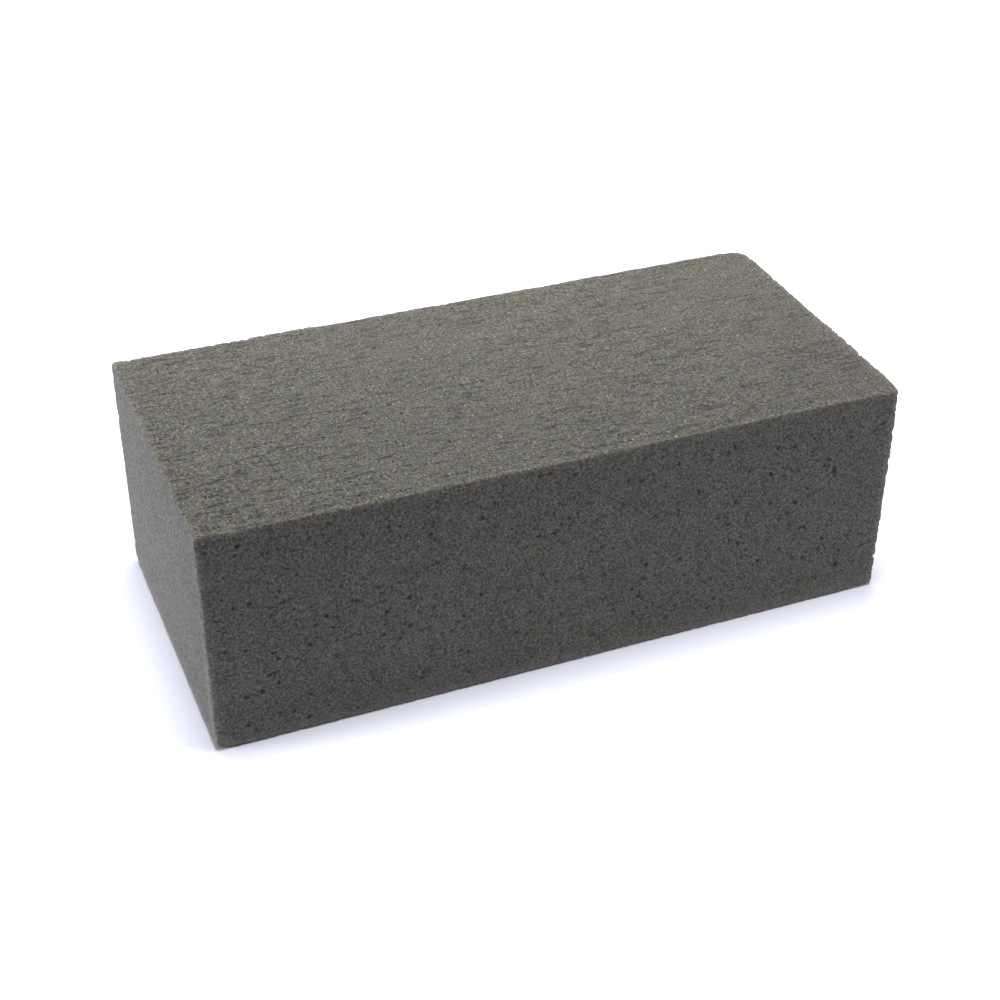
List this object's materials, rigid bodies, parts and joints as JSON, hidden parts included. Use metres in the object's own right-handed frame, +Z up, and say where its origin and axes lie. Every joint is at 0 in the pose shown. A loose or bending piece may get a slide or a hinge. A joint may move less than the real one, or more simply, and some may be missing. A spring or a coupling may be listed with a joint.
{
  "type": "floral foam brick",
  "caption": "Rectangular brick of rigid dry floral foam with plain cut faces and lightly worn edges, for holding stems.",
  "frame": {"origin": "centre of the underside, which lies flat on the surface", "axes": "+X along the brick's length, +Y across its width towards the back, +Z up"},
  "size_m": [0.23, 0.107, 0.079],
  "materials": {
    "foam": "matt, open cut cells"
  },
  "bodies": {
    "root": {"foam_block": "foam"}
  },
  "joints": []
}
